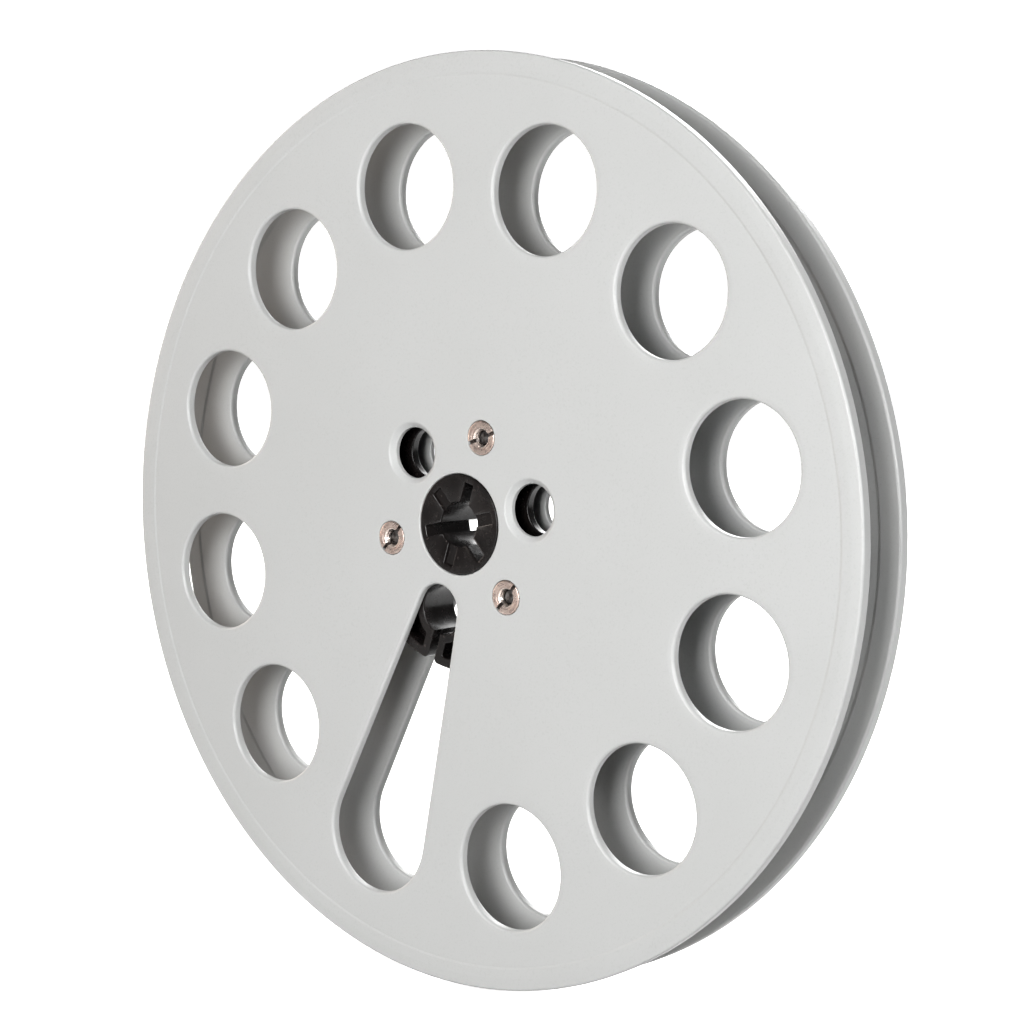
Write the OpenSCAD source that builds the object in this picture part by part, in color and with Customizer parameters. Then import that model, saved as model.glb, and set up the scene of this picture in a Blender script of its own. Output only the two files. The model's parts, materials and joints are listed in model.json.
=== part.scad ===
// Film reel: two perforated plastic flanges screwed to a slotted plastic hub.
// The reel stands on edge. Its spin axis is Y, its front face looks towards -Y, and the
// origin is on the spin axis, half way between the flanges.
// Inside the modules the spin axis is Z and the front face looks towards +Z.

/* [Flanges] */
// Outer diameter of both flanges
flange_d = 177.8; // [175:0.1:181]
// Overall width of the reel at its rim
rim_width = 15.1; // [14.7:0.1:15.8]
// Overall width of the reel at its hub
hub_width = 13.1; // [12.9:0.1:13.5]
// Thickness of a flange where it is clamped to the hub
seat_t = 2; // [1.8:0.1:2.2]
// Thickness of a flange just inside its rim
web_t = 2.3; // [2:0.1:2.5]
// Thickness of the rim bead
rim_t = 2.6; // [2.5:0.1:2.9]
// Width of the rim bead, measured inwards from the edge
rim_band = 4.5; // [3.5:0.5:5]
// Radius inside which the outer face is flat, before it rises towards the rim
flat_r = 22; // [21:1:26]
// How far the outer face lies below the rim bead, just inside it
bead_step = 0.15; // [0.05:0.05:0.2]

/* [Round holes] */
// Number of places round the flange; the threading slot takes one of them
hole_places = 12; // [11:1:12]
// Diameter of the round holes
hole_d = 23.9; // [20:0.1:24.5]
// Radius of the circle that their centres lie on
hole_circle_r = 65.6; // [64:0.1:67]
// Size of the break round the holes' edges
edge_break = 0.6; // [0.3:0.1:0.8]

/* [Hub] */
// Outer diameter of the drum that the film winds on
drum_d = 57.15; // [56:0.05:58]
// Thickness of the drum's wall
drum_wall = 1.8; // [1.4:0.1:2.2]
// Thickness of the web that joins the drum to the boss
hub_web_t = 1.8; // [1.4:0.1:2.4]
// Diameter of the centre boss
boss_d = 19.2; // [19:0.1:19.6]
// Diameter of the spindle bore
bore_d = 8.8; // [8.7:0.1:9.4]
// Width of the drive slots that lead off the bore
drive_slot_w = 2.2; // [1.8:0.1:2.2]
// Distance from the spin axis to the outer end of the drive slots
drive_slot_r = 8.3; // [7.8:0.1:8.5]
// Depth of the three drive slots that don't go through
blind_slot_depth = 0.5; // [0.3:0.1:0.8]

/* [Drive holes] */
// Diameter of the three drive holes; the threading slot starts at the third
drive_hole_d = 9.9; // [9:0.1:10]
// Radius of the circle that they lie on
drive_circle_r = 17.7; // [17.5:0.1:18]
// Diameter of the countersink of the two plain drive holes at the flange's outer face
drive_sink_d = 12; // [11:0.1:12.2]
// Depth of that countersink
drive_sink_depth = 1; // [0.6:0.1:1.2]
// Wall round the drive hole that the film slit opens into
clip_wall = 1.7; // [1.4:0.1:2]
// Width of the slit that holds the film's end
film_slit_w = 1.75; // [1.2:0.05:2]

/* [Fasteners] */
// Radius of the circle that the screws lie on
screw_circle_r = 17.54; // [17.4:0.01:17.8]
// Diameter of the nuts' and the screws' heads
head_d = 6.5; // [6:0.1:6.8]
// Thickness of the heads at their edge
head_t = 1; // [0.8:0.1:1.2]
// Outer diameter of the barrel nuts' sleeves
sleeve_d = 4.2; // [4:0.1:4.4]
// Outer diameter of the screws' threaded shanks
shank_d = 2.8; // [2.6:0.1:3]
// Outer diameter of the screw posts in the hub
post_d = 7.6; // [7:0.1:8]
// Width of the screwdriver slots
driver_slot_w = 0.8; // [0.6:0.1:1]
// Depth of the screwdriver slots
driver_slot_depth = 0.6; // [0.4:0.1:0.7]
// Radial gap between a fastener and what it goes through
fastener_gap = 0.1; // [0.05:0.05:0.2]

/* [Pose] */
// Angle of the first drive hole above the +X axis, seen from the front
reel_turn = 15.9; // [0:0.1:60]

/* [Hidden] */
$fn = 96;

flange_color = [0.84, 0.84, 0.82];
hub_color = [0.07, 0.065, 0.065];
nut_color = [0.80, 0.66, 0.60];
screw_color = [0.72, 0.72, 0.72];

flange_r = flange_d / 2;
drum_r = drum_d / 2;
boss_r = boss_d / 2;
bore_r = bore_d / 2;
hole_r = hole_d / 2;
head_r = head_d / 2;
sleeve_r = sleeve_d / 2;
shank_r = shank_d / 2;
drive_r = drive_hole_d / 2;
sink_r = drive_sink_d / 2;
post_r = post_d / 2;
clip_r = drive_r + clip_wall;

// Heights above the middle plane
rim_top = rim_width / 2;
rim_under = rim_top - rim_t;
hub_top = hub_width / 2;
seat_z = hub_top - seat_t;
bead_r = flange_r - rim_band;
face_top = rim_top - bead_step;
rim_break = 0.9;
through = rim_width + 2;

// Directions in which the three drive holes and the three screws lie
third = 120;
drive_angles = [for (i = [0:2]) reel_turn + third * i];
screw_angles = [for (i = [0:2]) reel_turn + third / 2 + third * i];
slot_place = 2;
slot_angle = drive_angles[slot_place];
hole_step = 360 / hole_places;
hole_angles = [for (i = [1:hole_places - 1]) slot_angle + hole_step * i];

// Directions of the screwdriver slots in the nuts, above the +X axis
nut_slot_turns = [24, 51, 53];
screw_slot_turns = [40, 100, 155];

// Turns the spin axis from Z to Y, so that the front face looks towards -Y
module upright() {
    rotate([90, 0, 0]) children();
}

// Places its children at a distance r from the spin axis, in the direction a
module at_polar(r, a) {
    rotate([0, 0, a]) translate([r, 0, 0]) children();
}

// A cylinder right through the reel
module through_hole(r) {
    cylinder(r = r, h = through, center = true);
}

// The height of the flange's outer face at a distance r from the spin axis
function outer_face_z(r) =
    r <= flat_r ? hub_top : hub_top + (face_top - hub_top) * (r - flat_r) / (bead_r - flat_r);

// Widens a hole of radius r by edge_break at both faces of the flange
module hole_edge_breaks(r) {
    top = outer_face_z(hole_circle_r);
    under = outer_face_z(hole_circle_r) - (seat_t + web_t) / 2;
    // The face slopes, so each cone starts a little outside it
    spare = 0.4;
    translate([0, 0, top - edge_break])
        cylinder(r1 = r, r2 = r + edge_break + spare, h = edge_break + spare);
    translate([0, 0, under - spare])
        cylinder(r1 = r + edge_break + spare, r2 = r, h = edge_break + spare);
}

// The plain turned flange: a flat seat, a web that rises outwards, and a rim bead
module flange_blank() {
    hole_at_boss = boss_r + 0.1;
    rotate_extrude($fn = 180) polygon([
        [hole_at_boss, seat_z],
        [drum_r + 1, seat_z],
        [bead_r, face_top - web_t],
        [bead_r + 0.6, rim_under],
        [flange_r - rim_break, rim_under],
        [flange_r, rim_under + rim_break],
        [flange_r, rim_top - rim_break],
        [flange_r - rim_break, rim_top],
        [bead_r + 0.6, rim_top],
        [bead_r, face_top],
        [flat_r, hub_top],
        [hole_at_boss, hub_top]
    ]);
}

// The threading slot: it widens from the third drive hole to a round hole.
// Its straight sides lean out from one circle to the other. They stop half a degree short
// of the true tangent, so that they cross the circles instead of grazing them.
module threading_slot() {
    graze = 0.5;
    lean = asin((hole_r - drive_r) / (hole_circle_r - drive_circle_r)) - graze;
    near = [drive_circle_r - drive_r * sin(lean), drive_r * cos(lean)];
    far = [hole_circle_r - hole_r * sin(lean), hole_r * cos(lean)];
    rotate([0, 0, slot_angle]) linear_extrude(through, center = true) {
        translate([drive_circle_r, 0]) circle(drive_r);
        translate([hole_circle_r, 0]) circle(hole_r);
        polygon([near, far, [far.x, -far.y], [near.x, -near.y]]);
    }
}

// A flange whose outer face looks towards +Z
module flange() {
    difference() {
        flange_blank();
        for (a = hole_angles) at_polar(hole_circle_r, a) {
            through_hole(hole_r);
            hole_edge_breaks(hole_r);
        }
        for (a = [drive_angles[0], drive_angles[1]]) at_polar(drive_circle_r, a) {
            through_hole(drive_r);
            // The cone runs on past the face by its own depth
            translate([0, 0, hub_top - drive_sink_depth])
                cylinder(r1 = drive_r, r2 = 2 * sink_r - drive_r, h = 2 * drive_sink_depth);
        }
        threading_slot();
        for (a = screw_angles) at_polar(screw_circle_r, a) {
            through_hole(sleeve_r + fastener_gap);
            translate([0, 0, hub_top - head_t])
                cylinder(r = head_r + fastener_gap, h = rim_width);
        }
    }
}

module front_flange() {
    color(flange_color) upright() flange();
}

module back_flange() {
    color(flange_color) upright() mirror([0, 0, 1]) flange();
}

// The slit that grips the film's end, and the two cheeks beside it
module film_slit(w, from_r) {
    rotate([0, 0, slot_angle]) translate([from_r, -w / 2, -through / 2])
        cube([drum_r + 2 - from_r, w, through]);
}

// Everything in the hub that is as tall as the drum
module hub_solid() {
    drum_h = 2 * seat_z;
    difference() {
        cylinder(r = drum_r, h = drum_h, center = true, $fn = 180);
        difference() {
            cylinder(r = drum_r - drum_wall, h = drum_h + 1, center = true);
            cylinder(r = boss_r + 1, h = drum_h + 2, center = true);
            for (a = screw_angles) at_polar(screw_circle_r, a) through_hole(post_r);
            at_polar(drive_circle_r, slot_angle) through_hole(clip_r);
            film_slit(film_slit_w + 2 * clip_wall, drive_circle_r + drive_r);
        }
    }
    cylinder(r = drum_r - drum_wall / 2, h = hub_web_t, center = true);
    cylinder(r = boss_r, h = hub_width, center = true);
}

// Drive slots: three go through the boss, and the three between them are shallow
module drive_slots() {
    for (i = [0:2]) {
        rotate([0, 0, screw_angles[i]]) translate([0, -drive_slot_w / 2, -through / 2])
            cube([drive_slot_r, drive_slot_w, through]);
        for (side = [-1, 1])
            rotate([0, 0, drive_angles[i]])
                translate([0, -drive_slot_w / 2, side * (hub_top - blind_slot_depth / 2) - blind_slot_depth])
                    cube([drive_slot_r, drive_slot_w, 2 * blind_slot_depth]);
    }
}

module hub() {
    color(hub_color) upright() difference() {
        hub_solid();
        through_hole(bore_r);
        drive_slots();
        for (a = drive_angles) at_polar(drive_circle_r, a) through_hole(drive_r);
        film_slit(film_slit_w, drive_circle_r + drive_r - 1);
        for (a = screw_angles) at_polar(screw_circle_r, a) through_hole(sleeve_r + fastener_gap);
    }
}

// A screwdriver slot across a head whose top is at height z
module driver_slot(z, turn) {
    rotate([0, 0, turn]) translate([-head_d, -driver_slot_w / 2, z - driver_slot_depth])
        cube([2 * head_d, driver_slot_w, head_t]);
}

// A barrel nut: a flat slotted head with a sleeve that reaches back through the hub
module barrel_nut(i) {
    sleeve_end = -seat_z + 0.5;
    mouth_r = 1.8;
    mouth_depth = 0.7;
    color(nut_color) upright() at_polar(screw_circle_r, screw_angles[i]) difference() {
        union() {
            translate([0, 0, hub_top - head_t]) cylinder(r = head_r, h = head_t);
            translate([0, 0, sleeve_end]) cylinder(r = sleeve_r, h = hub_top - head_t - sleeve_end + 0.1);
        }
        through_hole(shank_r + 0.05);
        translate([0, 0, hub_top - mouth_depth])
            cylinder(r1 = shank_r + 0.05, r2 = mouth_r + 0.2, h = mouth_depth + 0.1);
        driver_slot(hub_top, nut_slot_turns[i] - screw_angles[i]);
    }
}

// A machine screw that enters from the back and ends just below the nut's head
module screw(i) {
    shank_end = hub_top - 0.9;
    color(screw_color) upright() at_polar(screw_circle_r, screw_angles[i]) difference() {
        union() {
            translate([0, 0, -hub_top]) cylinder(r = head_r, h = head_t);
            translate([0, 0, -hub_top]) cylinder(r = shank_r, h = hub_top + shank_end);
        }
        mirror([0, 0, 1]) driver_slot(hub_top, screw_slot_turns[i] - screw_angles[i]);
    }
}

module barrel_nut_top() { barrel_nut(0); }
module barrel_nut_left() { barrel_nut(1); }
module barrel_nut_right() { barrel_nut(2); }
module screw_top() { screw(0); }
module screw_left() { screw(1); }
module screw_right() { screw(2); }

front_flange();
back_flange();
hub();
barrel_nut_top();
barrel_nut_left();
barrel_nut_right();
screw_top();
screw_left();
screw_right();
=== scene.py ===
"""Film reel: two pierced plastic flanges, a black slotted hub, and three barrel nuts with their screws.

Shapes are worked out in millimetres in the reel's own plane: x to the right and y up as seen from the
front, and z from the middle plane towards the front. to_frame() turns that into the CAD frame.
"""

import json
import math

import bmesh
import bpy
import numpy as np
from mathutils import Matrix, Vector


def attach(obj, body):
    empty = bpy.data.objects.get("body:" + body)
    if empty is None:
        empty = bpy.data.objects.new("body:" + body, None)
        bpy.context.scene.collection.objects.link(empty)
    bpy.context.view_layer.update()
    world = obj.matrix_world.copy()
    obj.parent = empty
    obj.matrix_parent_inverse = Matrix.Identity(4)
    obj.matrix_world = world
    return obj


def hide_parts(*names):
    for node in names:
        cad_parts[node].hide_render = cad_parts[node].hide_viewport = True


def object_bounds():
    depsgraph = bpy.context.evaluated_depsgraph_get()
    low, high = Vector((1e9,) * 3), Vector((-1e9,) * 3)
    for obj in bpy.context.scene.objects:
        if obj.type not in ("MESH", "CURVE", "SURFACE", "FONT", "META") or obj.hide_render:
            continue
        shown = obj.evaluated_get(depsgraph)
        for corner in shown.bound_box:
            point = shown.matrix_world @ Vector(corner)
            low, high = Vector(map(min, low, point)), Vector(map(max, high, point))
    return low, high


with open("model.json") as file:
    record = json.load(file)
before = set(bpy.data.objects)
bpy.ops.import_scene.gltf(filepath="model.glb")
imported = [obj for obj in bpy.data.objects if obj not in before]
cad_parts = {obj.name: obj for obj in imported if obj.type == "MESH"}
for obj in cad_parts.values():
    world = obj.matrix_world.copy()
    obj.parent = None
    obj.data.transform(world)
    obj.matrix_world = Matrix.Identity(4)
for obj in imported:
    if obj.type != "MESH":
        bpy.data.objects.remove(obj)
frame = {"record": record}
cad_low, cad_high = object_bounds()

MM = 0.001
mounts = {m["name"]: m for m in frame["record"]["mounts"]}


def direction_of(mount):
    """Angle, in degrees above +x, of a mount seen from the front."""
    x, _, z = mounts[mount]["pos_m"]
    return math.degrees(math.atan2(z, x))


# ---- Sizes, in millimetres, and directions, in degrees ----

FLANGE_R = min(-cad_low.x, cad_high.x, -cad_low.z, cad_high.z) / MM
RIM_TOP = (cad_high.y - cad_low.y) / 2 / MM
RIM_THICKNESS = 2.6
# How far a flange's two faces lie below the rim's top, where they meet the rim
OUTER_FACE_DROP = 0.16
INNER_FACE_DROP = 2.46
HUB_TOP = mounts["spindle_bore"]["dims"]["length_mm"] / 2
SEAT_Z = HUB_TOP - 2.0

SLOT_TURN = direction_of("drive_hole_slot")
DRIVE_TURNS = [SLOT_TURN + 120, SLOT_TURN + 240]
SCREW_TURNS = [SLOT_TURN + 180, SLOT_TURN + 300, SLOT_TURN + 60]
SIDES = ["top", "left", "right"]

HOLE_COUNT = 11
HOLE_SPACING = 30
HOLE_R = 11.95
HOLE_CIRCLE_R = 65.6
EDGE_WIDTH = 1.3
EDGE_DROP = 0.12
MOUTH_MARGIN = 0.8
DRIVE_R = mounts["drive_hole_right"]["dims"]["r_mm"]
DRIVE_CIRCLE_R = math.hypot(*mounts["drive_hole_right"]["pos_m"]) / MM
SINK_WIDTH = 1.05
SINK_DEPTH = 1.0
SCREW_CIRCLE_R = 17.54

BOSS_R = 9.6
BORE_R = mounts["spindle_bore"]["dims"]["r_mm"]
KEY_SLOT_HALF = 1.1
KEY_SLOT_END = 8.3
BLIND_SLOT_DEPTH = 0.5

DRUM_R = 28.575
DRUM_WALL = 1.8
SOCKET_WALL = 1.7
SLIT_HALF = 0.875
POST_R = 3.8
WEB_HALF = 0.9
WEB_INNER_R = 9.2
WEB_OUTER_R = 27.2

HEAD_R = 3.25
HEAD_T = 1.0
SLEEVE_R = 2.1
SHANK_R = 1.4
DRIVER_HALF = 0.36
DRIVER_DEPTH = 0.6
DRIVER_SOFTNESS = 0.06
THREAD_PITCH = 0.5
NUT_SLOT_TURNS = [24, 51, 53]
SCREW_SLOT_TURNS = [40, 100, 155]

# A flange is cut into cells, each round one hole. These are the radii of their borders, half of the
# angle of a cell outside and inside the middle border, and the steps along their straight sides.
CELL_INNER_R = 10.1
CELL_MIDDLE_R = 38.0
CELL_OUTER_R = 83.6
OUTER_HALF = 15
INNER_HALF = 30
OUTER_STEPS = 24
INNER_STEPS = 14
EDGE_SHARES = [1, 0.72, 0.48, 0.3, 0.16, 0.07]

# Step between neighbouring points round the spin axis, the web's angle beside the film slit, and the
# angle past which an edge stays crisp
STEP = 1.5
CHEEK_TURN = 3 * STEP
CRISP_ANGLE = 40

# The longest reach of the extra points that keep the flats beside an arc flat
SUPPORT_REACH = 0.08


# ---- Shapes as arrays ----

def polar(radius, degrees):
    """x and y of points at a radius and in a direction, either of which may be an array."""
    turn = np.radians(degrees)
    return np.stack(np.broadcast_arrays(radius * np.cos(turn), radius * np.sin(turn)), -1)


def turned(points, degrees):
    """x and y turned about the spin axis by an angle."""
    cosine, sine = polar(1, degrees)
    return points @ np.array([[cosine, sine], [-sine, cosine]])


def unit(vectors):
    """Vectors divided by their own lengths."""
    return vectors / np.linalg.norm(vectors, axis=-1, keepdims=True)


def soften(corners, radii, steps):
    """A profile through corners, in which each inner corner gives way to an arc of its radius.

    The arc touches both neighbouring sides: it starts and ends radius / tan(half the corner's angle)
    away from the corner. One more point on each side, close to the arc, keeps the rest of the side
    flat in the light. A radius of 0 keeps the corner.
    """
    corners = np.asarray(corners, float)
    sides = np.diff(corners, axis=0)
    along = unit(sides)
    halves = np.arccos(np.clip(-(along[:-1] * along[1:]).sum(1), -1, 1)) / 2
    reach = np.array(radii) / np.tan(halves)
    spare = np.linalg.norm(sides, axis=1) - np.append(0, reach) - np.append(reach, 0)
    pad = np.clip(spare / 4, 0, SUPPORT_REACH)
    share = np.linspace(0, 1, steps + 1)[:, None]
    points = [corners[0]]
    for i, (corner, radius, half) in enumerate(zip(corners[1:], radii, halves)):
        if radius == 0:
            points.append(corner)
            continue
        into, out = -along[i], along[i + 1]
        centre = corner + unit(into + out) * radius / math.sin(half)
        start = corner + into * reach[i] - centre
        end = corner + out * reach[i] - centre
        sweep = math.pi - 2 * half
        bend = (np.sin((1 - share) * sweep) * start + np.sin(share * sweep) * end) / math.sin(sweep)
        points += [centre + start + into * pad[i], *(centre + bend), centre + end + out * pad[i + 1]]
    points.append(corners[-1])
    return np.array(points)


def lathe(profile, degrees, centre=(0, 0)):
    """A profile of radius and height, carried round a centre.

    x and y are the centre plus the radius times the cosine and sine of each angle, and z is the height.
    """
    plan = polar(profile[:, None, 0], degrees[None, :]) + np.array(centre)
    height = np.broadcast_to(profile[:, None, 1], plan.shape[:2])
    return np.concatenate([plan, height[..., None]], -1)


def layers(plans, heights):
    """A grid whose rows are plan outlines (x and y), each at its own height or heights."""
    return np.array([
        np.column_stack([plan, np.broadcast_to(height, len(plan))])
        for plan, height in zip(plans, heights)])


def grid_quads(rows, columns, wrap_rows, wrap_columns):
    """Quads of a grid of points numbered row by row, closed on itself where asked."""
    row_starts = np.arange(rows - (not wrap_rows))
    column_starts = np.arange(columns - (not wrap_columns))
    row, column = np.meshgrid(row_starts, column_starts, indexing="ij")
    next_row, next_column = (row + 1) % rows, (column + 1) % columns
    corners = [(row, column), (row, next_column), (next_row, next_column), (next_row, column)]
    return np.stack([at_row * columns + at_column for at_row, at_column in corners], -1).reshape(-1, 4)


def to_frame(points):
    """Reel millimetres to the CAD frame in metres: X = x, Y = -z, Z = y."""
    return points[:, [0, 2, 1]] * np.array([MM, -MM, MM])


def piece(name, grids, material, stands_for):
    """Joins grids of points into one closed mesh, and puts it in the place of a CAD node.

    grids holds (points, wrap_rows, wrap_columns). Points that fall together are merged, faces left with
    no area go, the normals are turned outwards, and edges past the crisp angle stay crisp.
    """
    vertices, quads, count = [], [], 0
    for points, wrap_rows, wrap_columns in grids:
        quads.append(grid_quads(*points.shape[:2], wrap_rows, wrap_columns) + count)
        vertices.append(points.reshape(-1, 3))
        count += len(vertices[-1])
    mesh = bpy.data.meshes.new(name)
    mesh.from_pydata(to_frame(np.concatenate(vertices)), [], np.concatenate(quads).tolist())
    work = bmesh.new()
    work.from_mesh(mesh)
    merge_within, no_length = 0.002 * MM, 0.001 * MM
    bmesh.ops.remove_doubles(work, verts=work.verts, dist=merge_within)
    bmesh.ops.dissolve_degenerate(work, edges=work.edges, dist=no_length)
    bmesh.ops.recalc_face_normals(work, faces=work.faces)
    work.to_mesh(mesh)
    work.free()
    mesh.shade_smooth()
    mesh.set_sharp_from_angle(angle=math.radians(CRISP_ANGLE))
    made = bpy.data.objects.new(name, mesh)
    bpy.context.scene.collection.objects.link(made)
    made.data.materials.append(material)
    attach(made, "root")
    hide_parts(stands_for)


# ---- Flanges ----

def rising(radius, low, high):
    """Height of a flange's face: low beside the hub, then a soft bend into a straight rise.

    Past the radius 20 the slope grows evenly over 10 mm, and then stays, to reach high at the rim.
    """
    start, bend = 20.0, 10.0
    past = np.clip(radius - start, 0, None)
    run = np.where(past < bend, past ** 2 / (2 * bend), past - bend / 2)
    return low + (high - low) * run / (CELL_OUTER_R - start - bend / 2)


def outer_face(radius):
    """Height of the face that a flange turns outwards."""
    return rising(radius, HUB_TOP, RIM_TOP - OUTER_FACE_DROP)


def inner_face(radius):
    """Height of the face that a flange turns to the film."""
    return rising(radius, SEAT_Z, RIM_TOP - INNER_FACE_DROP)


def nearest_on_outline(points, near_r, far_at, far_r):
    """Nearest points on the outline round two circles and the sides that touch both.

    The first circle is at the origin and the second far_at along x. The straight sides lean by the
    angle whose sine is (far_r - near_r) / far_at. A point faces the near circle, a side or the far
    circle, according to where it falls along the side.
    """
    side = np.where(points[:, 1] < 0, -1.0, 1.0)
    upper = points * np.stack([np.ones(len(points)), side], -1)
    near = near_r * unit(upper)
    if far_at == 0:
        foot = near
    else:
        sine = (far_r - near_r) / far_at
        cosine = math.sqrt(1 - sine ** 2)
        along, normal = np.array([cosine, sine]), np.array([-sine, cosine])
        start = near_r * normal
        run = (upper - start) @ along
        on_side = start + run[:, None] * along
        far = np.array([far_at, 0]) + far_r * unit(upper - np.array([far_at, 0]))
        length = far_at * cosine
        foot = np.where(run[:, None] < 0, near, np.where(run[:, None] > length, far, on_side))
    return foot * np.stack([np.ones(len(points)), side], -1)


def cell(edge, place, turn, outline, front, back, top=outer_face, under=inner_face):
    """The flange between a cell's edge and the hole inside it, as one grid.

    Each point of the edge is joined by a straight line to the nearest point of the hole's outline. Rows
    run along that line on the top face, down the hole's front and back profiles, and out again on the
    face below. A profile holds distances from the outline and depths below its own face.
    """
    centre = polar(place, turn)
    local = turned(edge - centre, -turn)
    foot = turned(nearest_on_outline(local, *outline), turn) + centre
    reach = np.linalg.norm(edge - foot, axis=1)
    away = (edge - foot) / reach[:, None]

    def half(face, profile, depth_sign):
        """Rows of one face, inwards from the cell's edge to the hole's mouth, and then down the profile.

        Inside the mouth a depth is measured from the face's height at the mouth.
        """
        mouth_at = profile[0, 0]
        on_face = [(mouth_at + (reach - mouth_at) * share, 0) for share in EDGE_SHARES]
        on_wall = [(np.full(len(foot), distance), depth) for distance, depth in profile]
        rows = []
        for distance, depth in on_face + on_wall:
            plan = foot + away * distance[:, None]
            mouth = foot + away * np.maximum(distance, mouth_at)[:, None]
            height = face(np.linalg.norm(mouth, axis=1)) + depth_sign * depth
            rows.append(np.column_stack([plan, height]))
        return rows

    return np.array(half(top, front, -1) + half(under, back, 1)[::-1])


def arc(radius, start, end):
    """Points on a circle round the spin axis every STEP degrees, without the last."""
    steps = round(abs(end - start) / STEP)
    return polar(radius, np.linspace(start, end, steps + 1)[:-1])


def spoke(turn, start, end, steps):
    """Points along a radius in one direction, without the last."""
    return polar(np.linspace(start, end, steps + 1)[:-1], turn)


def sector(turn, half, inner, outer, steps):
    """Closed edge of a sector of the ring between two radii, centred on a direction."""
    return np.concatenate([
        arc(outer, turn - half, turn + half), spoke(turn + half, outer, inner, steps),
        arc(inner, turn + half, turn - half), spoke(turn - half, inner, outer, steps)])


def slot_sector(turn):
    """Closed edge of the threading slot's cell: a narrow sector outside and a wide one inside."""
    narrow, wide = OUTER_HALF, INNER_HALF
    return np.concatenate([
        arc(CELL_OUTER_R, turn - narrow, turn + narrow),
        spoke(turn + narrow, CELL_OUTER_R, CELL_MIDDLE_R, OUTER_STEPS),
        arc(CELL_MIDDLE_R, turn + narrow, turn + wide),
        spoke(turn + wide, CELL_MIDDLE_R, CELL_INNER_R, INNER_STEPS),
        arc(CELL_INNER_R, turn + wide, turn - wide),
        spoke(turn - wide, CELL_INNER_R, CELL_MIDDLE_R, INNER_STEPS),
        arc(CELL_MIDDLE_R, turn - wide, turn - narrow),
        spoke(turn - narrow, CELL_MIDDLE_R, CELL_OUTER_R, OUTER_STEPS)])


def rim_section():
    """The rim's section: a low bead on the outer face, the rim's edge, and a lip on the inner face."""
    bead_foot, bead_edge, bead_crest = FLANGE_R - 4.5, FLANGE_R - 4.1, FLANGE_R - 2.3
    lip_edge, lip_foot = FLANGE_R - 4.0, FLANGE_R - 4.6
    lip_low = RIM_TOP - RIM_THICKNESS
    corners = [
        (CELL_OUTER_R, outer_face(CELL_OUTER_R)),
        (bead_foot, outer_face(bead_foot) - 0.02),
        (bead_edge, RIM_TOP - 0.04),
        (bead_crest, RIM_TOP),
        (FLANGE_R, RIM_TOP - 0.08),
        (FLANGE_R, lip_low),
        (lip_edge, lip_low),
        (lip_foot, inner_face(lip_foot)),
        (CELL_OUTER_R, inner_face(CELL_OUTER_R))]
    return soften(corners, [0.25, 0.35, 1.5, 0.45, 0.5, 0.5, 0.5], 4)


def collar_section():
    """The section of the flange's edge round the boss, rounded on both faces."""
    boss_hole = BOSS_R + 0.12
    corners = [(CELL_INNER_R, HUB_TOP), (boss_hole, HUB_TOP), (boss_hole, SEAT_Z), (CELL_INNER_R, SEAT_Z)]
    return soften(corners, [0.36, 0.25], 4)


def flange_grids():
    """A flange seen from its outer side: cells round the holes, the rim bead and the boss's hole."""
    wall = 1.0
    rounding = soften(
        [(EDGE_WIDTH + MOUTH_MARGIN, 0), (EDGE_WIDTH, 0), (0, EDGE_DROP), (0, wall)], [4.0, 0.6], 4)
    sink = soften(
        [(SINK_WIDTH + MOUTH_MARGIN, 0), (SINK_WIDTH, 0), (0, SINK_DEPTH), (0, SINK_DEPTH + 0.3)],
        [0.7, 0.25], 5)
    drive_back = soften([(MOUTH_MARGIN, 0), (0, 0), (0, 0.5)], [0.3], 4)
    step, floor = SLEEVE_R - HEAD_R, HEAD_T + 0.02
    counterbore = soften(
        [(0.5, 0), (0, 0), (0, floor), (step, floor), (step, HEAD_T + 0.3)], [0.12, 0.05, 0.08], 3)
    sleeve_back = soften([(step + 0.4, 0), (step, 0), (step, 0.4)], [0.1], 3)
    head_hole_r = HEAD_R + 0.1

    cells = []
    for place in range(1, HOLE_COUNT + 1):
        turn = SLOT_TURN + HOLE_SPACING * place
        edge = sector(turn, OUTER_HALF, CELL_MIDDLE_R, CELL_OUTER_R, OUTER_STEPS)
        cells.append(cell(edge, HOLE_CIRCLE_R, turn, (HOLE_R, 0, HOLE_R), rounding, rounding))
    for turn in DRIVE_TURNS:
        edge = sector(turn, INNER_HALF, CELL_INNER_R, CELL_MIDDLE_R, INNER_STEPS)
        cells.append(cell(edge, DRIVE_CIRCLE_R, turn, (DRIVE_R, 0, DRIVE_R), sink, drive_back))
    for turn in SCREW_TURNS:
        edge = sector(turn, INNER_HALF, CELL_INNER_R, CELL_MIDDLE_R, INNER_STEPS)
        outline = (head_hole_r, 0, head_hole_r)
        cells.append(cell(edge, SCREW_CIRCLE_R, turn, outline, counterbore, sleeve_back))
    outline = (DRIVE_R, HOLE_CIRCLE_R - DRIVE_CIRCLE_R, HOLE_R)
    cells.append(cell(slot_sector(SLOT_TURN), DRIVE_CIRCLE_R, SLOT_TURN, outline, rounding, rounding))

    around_rim = SLOT_TURN + OUTER_HALF + np.arange(0, 360, STEP)
    rings = [lathe(section, around_rim) for section in (rim_section(), collar_section())]
    return [(grid, False, True) for grid in cells + rings]


def front_flange(material):
    """The flange whose outer face looks to the front."""
    piece("front_flange_body", flange_grids(), material, "front_flange")


def back_flange(material):
    """The same flange with every height turned over."""
    over = np.array([1, 1, -1])
    grids = [(grid * over, rows, columns) for grid, rows, columns in flange_grids()]
    piece("back_flange_body", grids, material, "back_flange")


# ---- Hub ----

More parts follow.
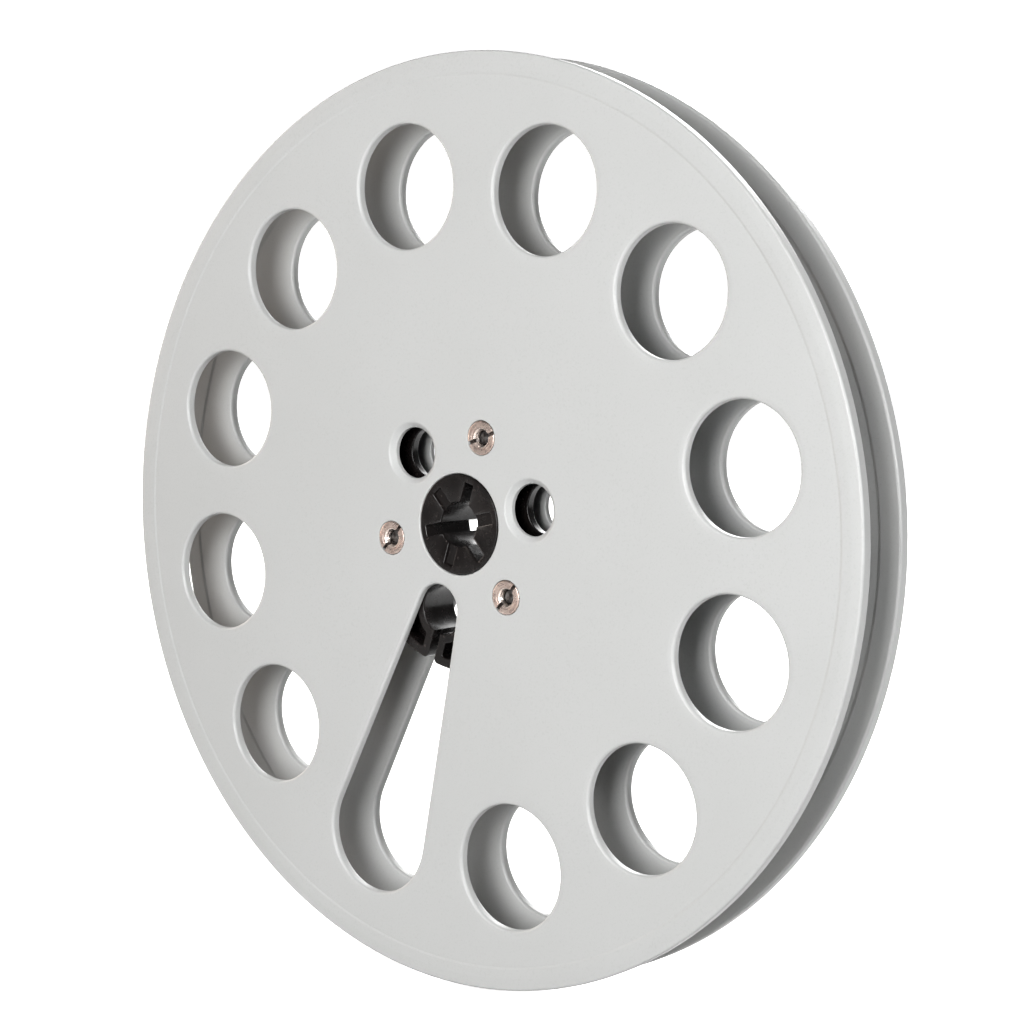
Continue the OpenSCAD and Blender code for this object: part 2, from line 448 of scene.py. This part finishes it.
def wall_side(drum_r, line_at, socket_r, corner_r, junction_r):
    """Half of one side of the hub's wall, in the slot's own axes.

    From the drum's far point it follows the drum's circle, turns in beside the slit, runs along it, and
    goes round the socket to that one's far point. Both corners are rounded, and every stretch has a
    fixed number of points, so that the two sides pair up.
    """
    drum_spare, socket_spare = 2.2, 0.8
    drum_points, socket_points = 91, 41
    at_drum = np.array([math.sqrt(drum_r ** 2 - line_at ** 2), line_at])
    at_socket = np.array([DRIVE_CIRCLE_R + math.sqrt(socket_r ** 2 - line_at ** 2), line_at])
    drum_from = math.degrees(math.asin(line_at / drum_r)) + math.degrees(drum_spare / drum_r)
    socket_from = math.degrees(math.asin(line_at / socket_r)) + math.degrees(socket_spare / socket_r)
    drum = polar(drum_r, np.linspace(180, drum_from, drum_points))
    socket = polar(socket_r, np.linspace(socket_from, 180, socket_points)) + np.array([DRIVE_CIRCLE_R, 0])
    turn_in = soften([drum[-1], at_drum, (at_drum + at_socket) / 2], [corner_r], 6)
    turn_off = soften([(at_drum + at_socket) / 2, at_socket, socket[0]], [junction_r], 4)
    return np.concatenate([drum[:-1], turn_in[:-1], turn_off[:-1], socket])


def closed_side(half):
    """A half outline and its mirror image as one closed outline, turned to the slot's direction."""
    mirrored = (half * np.array([1, -1]))[-2:0:-1]
    return turned(np.concatenate([half, mirrored]), SLOT_TURN)


def hub_wall(top):
    """The drum, the socket and the two cheeks of the film slit: one wall carried along its own outline.

    Rows go round the wall's section: up the drum's side, over the rounded edges, and down the side of
    the pocket.
    """
    outside = closed_side(wall_side(
        DRUM_R, SLIT_HALF, DRIVE_R, corner_r=0.9, junction_r=0.12))
    inside = closed_side(wall_side(
        DRUM_R - DRUM_WALL, SLIT_HALF + SOCKET_WALL, DRIVE_R + SOCKET_WALL, corner_r=0.5, junction_r=0.4))
    edge_r = 0.18
    section = soften([(0, 0), (0, top), (DRUM_WALL, top), (DRUM_WALL, 0)], [edge_r, edge_r], 3)
    section = np.concatenate([section[1:-1], section[-2:0:-1] * np.array([1, -1])])
    across = section[:, 0] / DRUM_WALL
    plans = outside[None] + (inside - outside)[None] * across[:, None, None]
    return layers(plans, section[:, 1])


def web_patch(side):
    """Half of the web beside the film slit: straight lines from a line inside the wall to a cell's edge.

    The wall's line goes round the socket and along a cheek. The edge goes round the boss, out along the
    sector's border, and back round the drum to the cheek. side is 1 or -1.
    """
    hidden_r = DRIVE_R + SOCKET_WALL / 2
    line_at = WEB_OUTER_R * math.sin(math.radians(CHEEK_TURN))
    leave = math.degrees(math.asin(line_at / hidden_r))
    edge = np.concatenate([
        arc(WEB_INNER_R, 0, INNER_HALF), spoke(INNER_HALF, WEB_INNER_R, WEB_OUTER_R, INNER_STEPS),
        arc(WEB_OUTER_R, INNER_HALF, CHEEK_TURN), polar(WEB_OUTER_R, np.array([CHEEK_TURN]))])
    on_arc = round((INNER_HALF - CHEEK_TURN) / STEP)
    socket_turns = np.linspace(180, leave, len(edge) - on_arc)
    socket = polar(hidden_r, socket_turns) + np.array([DRIVE_CIRCLE_R, 0])
    cheek = socket[-1] + (edge[-1] - socket[-1]) * np.linspace(0, 1, on_arc + 1)[1:, None]
    inner = np.concatenate([socket, cheek])
    flip = np.array([1, side])
    inner, edge = turned(inner * flip, SLOT_TURN), turned(edge * flip, SLOT_TURN)
    return layers([edge, inner, inner, edge], [WEB_HALF, WEB_HALF, -WEB_HALF, -WEB_HALF])


def web_grids():
    """The plate half way up the hub: cells with the drive holes and the posts, and the slit's sector."""
    def top(radius):
        return np.full(radius.shape, WEB_HALF)

    def under(radius):
        return np.full(radius.shape, -WEB_HALF)

    def brim(radius, degrees, wraps):
        """The web's edge at a radius, hidden inside the drum or the boss."""
        section = np.array([(radius, WEB_HALF), (radius, -WEB_HALF)])
        return lathe(section, SLOT_TURN + degrees), False, wraps

    rounding = soften([(0.6, 0), (0, 0), (0, 0.5)], [0.22], 4)
    holes = [(turn, DRIVE_CIRCLE_R, DRIVE_R) for turn in DRIVE_TURNS]
    holes += [(turn, SCREW_CIRCLE_R, (SLEEVE_R + POST_R) / 2) for turn in SCREW_TURNS]
    grids = []
    for turn, place, radius in holes:
        edge = sector(turn, INNER_HALF, WEB_INNER_R, WEB_OUTER_R, INNER_STEPS)
        grid = cell(edge, place, turn, (radius, 0, radius), rounding, rounding, top, under)
        grids.append((grid, False, True))
    grids += [(web_patch(side), False, False) for side in (1, -1)]
    past_slit = np.arange(CHEEK_TURN, 360 - CHEEK_TURN + STEP, STEP)
    return grids + [brim(WEB_OUTER_R, past_slit, False), brim(WEB_INNER_R, np.arange(0, 360, STEP), True)]


def bore_outline(turns, blind_turns):
    """Outline of the bore with its radial slots: arcs of the bore, and three sides of each slot.

    Returns the outline with every slot, and the same points with the blind slots drawn back to the bore.
    """
    spacing, across_count, land_count = 60, 7, 9
    mouth = math.degrees(math.asin(KEY_SLOT_HALF / BORE_R))
    across = np.linspace(-1, 1, across_count) * KEY_SLOT_HALF
    end = np.column_stack([np.full(across_count, KEY_SLOT_END), across])
    bore = np.column_stack([np.sqrt(BORE_R ** 2 - across ** 2), across])
    deep, shallow = [], []
    for turn in sorted(angle % 360 for angle in [*turns, *blind_turns]):
        blind = any(abs((turn - angle) % 360) < 1 for angle in blind_turns)
        slot = turned(np.concatenate([bore[:1], end, bore[-1:]]), turn)
        drawn = turned(np.concatenate([bore[:1], bore, bore[-1:]]), turn)
        land = polar(BORE_R, np.linspace(turn + mouth, turn + spacing - mouth, land_count)[1:-1])
        deep.append(np.concatenate([slot, land]))
        shallow.append(np.concatenate([drawn if blind else slot, land]))
    return np.concatenate(deep), np.concatenate(shallow)


def boss_grid():
    """The boss as one closed grid: its outer side, a bevelled front face, the bore and slots, the back.

    Columns are points of the slotted outline, each paired with the boss's rim in the same direction.
    Rows run round the boss's section. Edges along the slots are rounded by drawing the outline back from
    the slot's side while it sinks below the face. At a corner of the outline it is drawn back further,
    by one over the cosine of half the corner's turn.
    """
    slots, through = bore_outline(SCREW_TURNS, [*DRIVE_TURNS, SLOT_TURN])
    around = np.degrees(np.arctan2(slots[:, 1], slots[:, 0]))
    ahead = np.roll(slots, -1, 0) - slots
    behind = slots - np.roll(slots, 1, 0)
    tangent = unit(ahead + behind)
    turn_cosine = (unit(ahead) * unit(behind)).sum(1)
    stretch = 1 / np.sqrt(np.clip((1 + turn_cosine) / 2, 0.3, 1))
    out = np.stack([tangent[:, 1], -tangent[:, 0]], -1) * stretch[:, None]
    # Rows of the bevel: how far in from the boss's side, and how far below its face
    bevel = [(0, 0.18), (0.05, 0.05), (0.18, 0.005), (0.3, 0)]
    rows = [(polar(BOSS_R - inwards, around), HUB_TOP - sunk) for inwards, sunk in bevel]
    edge_r = 0.16
    for slope in (0, 30, 60, 90):
        back = edge_r * (1 - math.sin(math.radians(slope)))
        sunk = edge_r * (1 - math.cos(math.radians(slope)))
        rows.append((slots + out * back, HUB_TOP - sunk))
    rows.append((slots, HUB_TOP - BLIND_SLOT_DEPTH))
    rows.append((through, HUB_TOP - BLIND_SLOT_DEPTH))
    plans = [plan for plan, _ in rows] + [plan for plan, _ in rows[::-1]]
    heights = [height for _, height in rows] + [-height for _, height in rows[::-1]]
    return layers(plans, heights)


def hub(material):
    """The black moulding that joins the flanges."""
    top = SEAT_Z - 0.01
    post_bore, post_step = SLEEVE_R + 0.1, 6
    post = soften([(post_bore, -top), (POST_R, -top), (POST_R, top), (post_bore, top)], [0.15, 0.15], 3)
    grids = [(hub_wall(top), True, True), (boss_grid(), True, True), *web_grids()]
    for turn in SCREW_TURNS:
        place = polar(SCREW_CIRCLE_R, turn)
        grids.append((lathe(post, np.arange(0, 360, post_step), place), True, True))
    piece("hub_body", grids, material, "hub")


# ---- Fasteners ----

def slotted_turned(profile, slot_floor, slot_turn, place, flip=1):
    """A turned part with a screwdriver slot across its top.

    Rows are the profile's points, radius and height. Columns go round, and they crowd to the slot's two
    sides: at each radius a side lies at the angle whose sine is half the slot's width over the radius.
    Columns inside the slot sink to its floor where the profile is higher.
    """
    radius, height = profile[:, 0], profile[:, 1]
    land_steps, least_radius = 14, 1e-6

    def angle_at(offset):
        """The angle, at each radius, of a line that runs along the slot at an offset from its middle."""
        return np.arcsin(np.clip(offset / np.maximum(radius, least_radius), -1, 1))

    # Lines from the slot's middle outwards: offset, how far they sink, and whether they lie in the slot
    land_from = DRIVER_HALF + DRIVER_SOFTNESS
    lines = [
        (0, 0, True), (DRIVER_HALF, 0, True),
        (DRIVER_HALF, DRIVER_SOFTNESS, False), (land_from, 0, False)]
    first = angle_at(land_from)
    columns = []
    for half_turn in (0, math.pi):
        for offset, drop, in_slot in lines:
            columns.append((angle_at(offset) + half_turn, drop, in_slot))
        for share in np.linspace(0, 1, land_steps + 1)[1:-1]:
            columns.append((first + (math.pi - 2 * first) * share + half_turn, 0, False))
        for offset, drop, in_slot in lines[:0:-1]:
            columns.append((math.pi + angle_at(-offset) + half_turn, drop, in_slot))
    angles = np.stack([angle for angle, _, _ in columns], 1)
    drops = np.array([drop for _, drop, _ in columns])
    sunk = np.array([in_slot for _, _, in_slot in columns])
    above = height[:, None] > slot_floor
    heights = np.where(above, height[:, None] - drops, height[:, None])
    heights = np.where(sunk & (heights > slot_floor), slot_floor, heights)
    plan = radius[:, None, None] * np.stack([np.cos(angles), np.sin(angles)], -1)
    plan = turned(plan, slot_turn) + polar(*place)
    return np.concatenate([plan, flip * heights[..., None]], -1)


def barrel_nut(index, material):
    """A flat head with a coned mouth and three thread grooves, and a sleeve that reaches back."""
    name = f"barrel_nut_{SIDES[index]}"
    bore, groove, groove_count = SHANK_R + 0.05, 0.2, 3
    mouth_r, ring_r, dish = 1.8, 2.25, 0.1
    sleeve_end, first_top = -SEAT_Z + 0.5, HUB_TOP - 0.8
    tops = first_top - THREAD_PITCH * np.arange(groove_count)[::-1]
    grooves = [point for top in tops for point in ((bore + groove, top - THREAD_PITCH / 2), (bore, top))]
    head_low = HUB_TOP - HEAD_T
    profile = soften([
        (bore, sleeve_end), (bore, tops[0] - THREAD_PITCH), *grooves, (mouth_r, HUB_TOP - dish),
        (ring_r, HUB_TOP - dish), (ring_r + dish, HUB_TOP), (HEAD_R, HUB_TOP), (HEAD_R, head_low),
        (SLEEVE_R, head_low), (SLEEVE_R, sleeve_end)], [0] * 7 + [0.1, 0.05, 0.05, 0.2, 0.05, 0.05], 3)
    place = (SCREW_CIRCLE_R, SCREW_TURNS[index])
    grid = slotted_turned(profile, HUB_TOP - DRIVER_DEPTH, NUT_SLOT_TURNS[index], place)
    piece(f"{name}_body", [(grid, True, True)], material, name)


def thread(start, end, place):
    """A screw thread: a cylinder with a groove that climbs one pitch in each turn.

    The groove is deepest where height over pitch, plus the part of a turn, is a whole number and a half.
    It fades out over one pitch at both ends. The start is flat, and the end is a cone with a blunt tip.
    """
    groove_depth, cone, tip = 0.28, 0.25, 0.06
    steps_round, steps_along = 40, 100
    turn = np.linspace(0, 360, steps_round, endpoint=False)[None, :]
    height = np.linspace(start, end, steps_along)[:, None]
    phase = (height / THREAD_PITCH + turn / 360) % 1
    fade = np.clip((end - height) / THREAD_PITCH, 0, 1) * np.clip((height - start) / THREAD_PITCH, 0, 1)
    groove = groove_depth * (1 - np.abs(2 * phase - 1)) * fade
    radius = SHANK_R - groove - cone * (1 - np.clip((end - height) / cone, 0, 1))
    tube = np.concatenate([polar(radius, turn), np.broadcast_to(height, radius.shape)[..., None]], -1)
    foot = tube[:1] * np.array([0, 0, 1])
    share = np.array([0.75, 0.45, 0.15, 0.0])[:, None, None]
    cap = np.repeat(tube[-1:], len(share), 0)
    cap[..., :2] *= share
    cap[..., 2:] = end + tip * (1 - share)
    grid = np.concatenate([foot, tube, cap])
    grid[..., :2] += polar(*place)
    return grid


def screw(index, material):
    """A slotted machine screw from the back: its heights are turned over, so that its head is behind."""
    name = f"screw_{SIDES[index]}"
    place = (SCREW_CIRCLE_R, SCREW_TURNS[index])
    slot_floor, head_low, stub_low = HUB_TOP - DRIVER_DEPTH, HUB_TOP - HEAD_T, 4.3
    overlap, end_depth = 0.1, 1.25
    profile = soften([
        (0, slot_floor), (DRIVER_HALF, slot_floor), (DRIVER_HALF + DRIVER_SOFTNESS, HUB_TOP),
        (HEAD_R, HUB_TOP), (HEAD_R, head_low), (SHANK_R, head_low), (SHANK_R, stub_low), (0, stub_low)],
        [0, 0, 0.25, 0.05, 0.05, 0], 4)
    head = slotted_turned(profile, slot_floor, SCREW_SLOT_TURNS[index], place, flip=-1)
    shank = thread(-stub_low - overlap, HUB_TOP - end_depth, place)
    piece(f"{name}_body", [(head, False, True), (shank, False, True)], material, name)


# ---- Materials ----

class Recipe:
    """A new material and short calls that add and join its nodes."""

    def __init__(self, name):
        self.material = bpy.data.materials.new(name)
        self.material.use_nodes = True
        self.tree = self.material.node_tree
        self.shader = self.tree.nodes["Principled BSDF"]
        self.place = self.add("ShaderNodeTexCoord").outputs["Object"]

    def add(self, kind, **settings):
        """A node of a kind, with its properties set."""
        node = self.tree.nodes.new(kind)
        for key, value in settings.items():
            setattr(node, key, value)
        return node

    def join(self, output, socket):
        """A link from an output to a socket."""
        self.tree.links.new(output, socket)

    def noise(self, per_metre, detail, roughness=0.5):
        """Smooth noise with so many features to the metre."""
        node = self.add("ShaderNodeTexNoise")
        node.inputs["Scale"].default_value = per_metre
        node.inputs["Detail"].default_value = detail
        node.inputs["Roughness"].default_value = roughness
        self.join(self.place, node.inputs["Vector"])
        return node.outputs["Fac"]

    def spread(self, value, low, high, to_low, to_high):
        """A value mapped from one range to another, and held at its ends."""
        node = self.add("ShaderNodeMapRange")
        for socket, number in zip(node.inputs[1:5], (low, high, to_low, to_high)):
            socket.default_value = number
        self.join(value, node.inputs[0])
        return node.outputs[0]

    def blend(self, share, first, second):
        """A colour between two colours, each a tuple or another node's output."""
        node = self.add("ShaderNodeMix", data_type="RGBA")
        self.join(share, node.inputs["Factor"])
        for socket, colour in ((node.inputs[6], first), (node.inputs[7], second)):
            if isinstance(colour, tuple):
                socket.default_value = (*colour, 1)
            else:
                self.join(colour, socket)
        return node.outputs[2]

    def math(self, operation, first, second=0):
        """Arithmetic on one or two values, each a number or another node's output."""
        node = self.add("ShaderNodeMath", operation=operation)
        for socket, value in zip(node.inputs, (first, second)):
            if isinstance(value, (int, float)):
                socket.default_value = value
            else:
                self.join(value, socket)
        return node.outputs[0]

    def axes(self):
        """The x, y and z of the place, each on its own."""
        node = self.add("ShaderNodeSeparateXYZ")
        self.join(self.place, node.inputs[0])
        return node.outputs["X"], node.outputs["Y"], node.outputs["Z"]

    def bump(self, height, depth, after=None):
        """A bump of so many metres, on top of another one where given."""
        node = self.add("ShaderNodeBump")
        node.inputs["Distance"].default_value = depth
        self.join(height, node.inputs["Height"])
        if after is not None:
            self.join(after, node.inputs["Normal"])
        return node.outputs["Normal"]


def flange_plastic():
    """Light grey moulded plastic: a fine satin grain, faint cloudy patches and a few dull rubs."""
    base, pale, fleck_grey = (0.412, 0.417, 0.412), (0.425, 0.430, 0.426), (0.385, 0.388, 0.384)
    grain_depth, ripple_depth = 0.016 * MM, 0.06 * MM
    r = Recipe("flange_plastic")
    cloud = r.noise(22, 3)
    fleck = r.noise(2600, 2)
    rub = r.noise(90, 6, 0.65)
    colour = r.blend(r.spread(cloud, 0.35, 0.65, 0, 1), base, pale)
    colour = r.blend(r.spread(fleck, 0.55, 0.72, 0, 0.8), colour, fleck_grey)
    r.join(colour, r.shader.inputs["Base Color"])
    r.join(r.spread(rub, 0.35, 0.7, 0.33, 0.37), r.shader.inputs["Roughness"])
    r.shader.inputs["Specular IOR Level"].default_value = 0.42
    ripple = r.bump(r.noise(45, 1), ripple_depth)
    r.join(r.bump(r.noise(2600, 3), grain_depth, after=ripple), r.shader.inputs["Normal"])
    return r.material


def hub_plastic():
    """Black moulded plastic with a warm cast, a satin skin and small dust specks."""
    base, pale, dust = (0.0045, 0.0037, 0.0036), (0.0085, 0.0067, 0.0063), (0.06, 0.05, 0.046)
    grain_depth, ripple_depth = 0.006 * MM, 0.02 * MM
    r = Recipe("hub_plastic")
    cloud = r.noise(160, 4)
    speck = r.noise(1500, 2)
    skin = r.noise(420, 5, 0.6)
    colour = r.blend(r.spread(cloud, 0.35, 0.65, 0, 1), base, pale)
    colour = r.blend(r.spread(speck, 0.66, 0.72, 0, 0.55), colour, dust)
    r.join(colour, r.shader.inputs["Base Color"])
    r.join(r.spread(skin, 0.3, 0.7, 0.17, 0.32), r.shader.inputs["Roughness"])
    r.shader.inputs["Specular IOR Level"].default_value = 0.3
    ripple = r.bump(r.noise(260, 2), ripple_depth)
    r.join(r.bump(r.noise(2200, 3), grain_depth, after=ripple), r.shader.inputs["Normal"])
    return r.material


def fastener_masks(r, x_axis, z_axis, slot_turns):
    """Distance from the nearest fastener's axis, and 1 inside its driver slot.

    A slot is where the distance from its middle line, z cos - x sin of the slot's direction, is less
    than half its width, up to the head's edge.
    """
    soft_edge, head_low, head_high = 0.04 * MM, 3.4 * MM, 3.6 * MM
    radius, in_slot = None, None
    for turn, slot_turn in zip(SCREW_TURNS, slot_turns):
        x, z = polar(SCREW_CIRCLE_R * MM, turn)
        dx = r.math("SUBTRACT", x_axis, float(x))
        dz = r.math("SUBTRACT", z_axis, float(z))
        square = r.math("ADD", r.math("MULTIPLY", dx, dx), r.math("MULTIPLY", dz, dz))
        own_radius = r.math("SQRT", square)
        cosine, sine = math.cos(math.radians(slot_turn)), math.sin(math.radians(slot_turn))
        across = r.math("SUBTRACT", r.math("MULTIPLY", dz, cosine), r.math("MULTIPLY", dx, sine))
        beside = r.spread(r.math("ABSOLUTE", across), DRIVER_HALF * MM, DRIVER_HALF * MM + soft_edge, 1, 0)
        own_slot = r.math("MULTIPLY", beside, r.spread(own_radius, head_low, head_high, 1, 0))
        radius = own_radius if radius is None else r.math("MINIMUM", radius, own_radius)
        in_slot = own_slot if in_slot is None else r.math("MAXIMUM", in_slot, own_slot)
    return radius, in_slot


def turned_metal(name, slot_turns, dark, light, tarnish, mouth, roughness):
    """Metal turned on a lathe: rings round each fastener's own axis, patches of tarnish, and painted shade
    in the slots and deep down.

    The rings are a wave of the distance from the nearest fastener's axis. The mouth's colour lies inside
    1.85 mm of that axis. Painted shade: a dark brown is painted into the driver slots below the face, and
    fades in from 0.7 to 1.1 mm down everywhere, to stand for the shade in those recesses.
    """
    # The first colour is the dark brown of the painted shade in the slots and deep in the bore
    painted_shade_brown, ring_spacing, ring_depth = (0.032, 0.027, 0.025), 0.26 * MM, 0.016 * MM
    r = Recipe(name)
    x_axis, y_axis, z_axis = r.axes()
    radius, in_slot = fastener_masks(r, x_axis, z_axis, slot_turns)
    wave = r.math("SINE", r.math("MULTIPLY", radius, 2 * math.pi / ring_spacing))
    wave = r.math("MULTIPLY", wave, r.noise(500, 2))
    inside = r.spread(radius, 1.8 * MM, 1.9 * MM, 1, 0)
    depth = r.math("SUBTRACT", HUB_TOP * MM, r.math("ABSOLUTE", y_axis))
    # Painted shade: a mask that is 1 in the driver slots below the face, and grows from 0.7 to 1.1 mm down
    # everywhere, with a little noise
    painted_shade = r.math("MULTIPLY", in_slot, r.spread(depth, 0.1 * MM, 0.3 * MM, 0, 1))
    painted_shade = r.math("MAXIMUM", painted_shade, r.spread(depth, 0.7 * MM, 1.1 * MM, 0, 1))
    painted_shade = r.math("MULTIPLY", painted_shade, r.spread(r.noise(1400, 3), 0.3, 0.6, 0.75, 1))
    colour = r.blend(r.spread(r.noise(420, 4), 0.35, 0.65, 0, 1), dark, light)
    colour = r.blend(r.spread(r.noise(900, 5, 0.65), 0.55, 0.75, 0, 0.5), colour, tarnish)
    colour = r.blend(inside, colour, mouth)
    colour = r.blend(painted_shade, colour, painted_shade_brown)
    r.join(colour, r.shader.inputs["Base Color"])
    r.shader.inputs["Metallic"].default_value = 0.9
    polish = r.spread(r.noise(1300, 4), 0.3, 0.7, roughness - 0.06, roughness + 0.08)
    r.join(polish, r.shader.inputs["Roughness"])
    r.join(r.bump(wave, ring_depth), r.shader.inputs["Normal"])
    return r.material


def glowing_paper(name):
    """A recipe for dull paper that gives off white light, and the pale mottled colour to go with it."""
    r = Recipe(name)
    r.shader.inputs["Roughness"].default_value = 0.9
    r.shader.inputs["Emission Color"].default_value = (1, 1, 1, 1)
    return r, r.blend(r.noise(6, 3), (0.86, 0.86, 0.86), (0.89, 0.89, 0.89))


def floor_paper():
    """Near-white paper with the faintest mottling, lit more and more with the distance from the reel."""
    r, pale = glowing_paper("floor_paper")
    r.join(pale, r.shader.inputs["Base Color"])
    away = r.add("ShaderNodeVectorMath", operation="LENGTH")
    r.join(r.place, away.inputs[0])
    r.join(r.spread(away.outputs["Value"], 0.1, 0.5, 0.75, 1.0), r.shader.inputs["Emission Strength"])
    return r.material


def reflector_paper():
    """The sheet that the gloss mirrors: dark in front of the reel, and bright behind it."""
    r, pale = glowing_paper("reflector_paper")
    _, y_axis, _ = r.axes()
    far = r.spread(y_axis, -0.35, 0.05, 0, 1)
    r.join(r.blend(far, (0.42, 0.42, 0.42), pale), r.shader.inputs["Base Color"])
    r.join(r.spread(y_axis, -0.15, 0.1, 0.12, 0.85), r.shader.inputs["Emission Strength"])
    return r.material


# ---- Camera, floor and light ----

# The camera's place in metres, its own right and up directions, and its lens in millimetres
CAMERA_PLACE = Vector((0.2727, -0.3291, 0.0562))
CAMERA_RIGHT = Vector((0.77258, 0.63203, 0.06046))
CAMERA_UP = Vector((-0.12567, 0.05889, 0.99032))
LENS = 78.69
SENSOR_WIDTH = 36

# The direction, seen from above, in which the sheet that the gloss mirrors runs away behind the reel
REFLECTOR_AWAY = Vector((-0.62236, 0.77270, 0))

# Lights: name, azimuth and elevation in degrees, distance and size in metres, power in watts, colour
WHITE = (1, 1, 1)
LIGHTS = [
    ("key", 9, 9, 0.42, 0.24, 2.25, WHITE),
    ("edge", 73, 16, 0.7, 0.18, 3.7, WHITE),
    ("warm", -86, 2, 0.7, 0.6, 4.6, (1.0, 0.87, 0.78)),
    ("back", 196, 22, 0.9, 0.5, 8.0, WHITE),
]
AIR_STRENGTH = 0.12


def camera():
    """The camera, with its up direction made square to its right one."""
    right = CAMERA_RIGHT.normalized()
    back = right.cross(CAMERA_UP).normalized()
    up = back.cross(right)
    made = bpy.data.objects.new("camera", bpy.data.cameras.new("camera"))
    bpy.context.scene.collection.objects.link(made)
    axes = Matrix((right, up, back)).transposed().to_4x4()
    made.matrix_world = Matrix.Translation(CAMERA_PLACE) @ axes
    made.data.lens = LENS
    made.data.sensor_width = SENSOR_WIDTH
    made.data.clip_start = 0.01
    bpy.context.scene.camera = made


def staged(name, points, wrap_columns, material):
    """A sheet of the studio from a grid of points in metres, which isn't part of the object."""
    mesh = bpy.data.meshes.new(name)
    quads = grid_quads(*points.shape[:2], False, wrap_columns)
    mesh.from_pydata(points.reshape(-1, 3), [], quads.tolist())
    mesh.shade_smooth()
    made = bpy.data.objects.new(name, mesh)
    made.data.materials.append(material)
    bpy.context.scene.collection.objects.link(made)
    made.visible_diffuse = False
    return made


def swept_up(start, flat_end, turn, height, low):
    """A section of distance and height, in metres: a floor line, a quarter circle up, and a wall line."""
    angles = np.linspace(0, math.pi / 2, 25)
    distance = np.concatenate([[start], flat_end + turn * np.sin(angles), [flat_end + turn]])
    up = np.concatenate([[low], low + turn * (1 - np.cos(angles)), [low + height]])
    return np.column_stack([distance, up])


def studio_floor(material):
    """A round floor that curves up into a wall on all sides, for the camera only.

    Its section is carried round the vertical axis.
    """
    section = swept_up(start=0, flat_end=1.2, turn=0.6, height=2.5, low=cad_low.z)
    made = staged("studio_floor", lathe(section, np.arange(0, 360, 3)), True, material)
    made.visible_glossy = False
    made.visible_shadow = False


def reflector(material):
    """A sweep of paper that only the gloss sees: flat under the reel, and curved up into a wall behind it.

    Its section is drawn along a wide straight width, a little below the floor.
    """
    half_width, below_floor = 2.4, 0.002
    section = swept_up(start=-1.6, flat_end=1.0, turn=0.5, height=1.6, low=cad_low.z - below_floor)
    away = REFLECTOR_AWAY.normalized()
    side = np.array((away.y, -away.x, 0)) * half_width
    middle = section[:, :1] * np.array(away)
    points = np.stack([middle - side, middle + side], 1)
    points[..., 2] = section[:, 1:]
    made = staged("reflector", points, False, material)
    made.visible_camera = False


def around(azimuth, elevation, distance):
    """A place at a distance from the reel: azimuth from the front towards the right, elevation upwards."""
    turn, rise = math.radians(azimuth), math.radians(elevation)
    level = distance * math.cos(rise)
    return Vector((level * math.sin(turn), -level * math.cos(turn), distance * math.sin(rise)))


def area_light(name, place, size, power, colour):
    """A square soft light that looks at the reel."""
    light = bpy.data.lights.new(name, "AREA")
    light.size = size
    light.energy = power
    light.color = colour
    made = bpy.data.objects.new(name, light)
    bpy.context.scene.collection.objects.link(made)
    made.location = place
    made.rotation_mode = "QUATERNION"
    made.rotation_quaternion = (-place).to_track_quat("-Z", "Y")
    made.visible_camera = False


def lights():
    """Soft lights in front, at the right for the edges, warm at the left and behind, and pale air."""
    for name, azimuth, elevation, distance, size, power, colour in LIGHTS:
        area_light(name, around(azimuth, elevation, distance), size, power, colour)
    world = bpy.data.worlds.new("pale_air")
    world.use_nodes = True
    air = world.node_tree.nodes["Background"]
    air.inputs["Color"].default_value = (*WHITE, 1)
    air.inputs["Strength"].default_value = AIR_STRENGTH
    bpy.context.scene.world = world
    bpy.context.scene.view_settings.view_transform = "Standard"


# ---- The scene ----

camera()
lights()
studio_floor(floor_paper())
reflector(reflector_paper())
light_grey = flange_plastic()
front_flange(light_grey)
back_flange(light_grey)
hub(hub_plastic())
rose = turned_metal(
    "nut_metal", NUT_SLOT_TURNS, dark=(0.46, 0.36, 0.315), light=(0.58, 0.475, 0.425),
    tarnish=(0.46, 0.28, 0.22), mouth=(0.74, 0.66, 0.61), roughness=0.27)
steel = turned_metal(
    "screw_metal", SCREW_SLOT_TURNS, dark=(0.50, 0.50, 0.50), light=(0.64, 0.64, 0.64),
    tarnish=(0.36, 0.33, 0.30), mouth=(0.60, 0.59, 0.58), roughness=0.32)
for index in range(len(SIDES)):
    barrel_nut(index, rose)
    screw(index, steel)
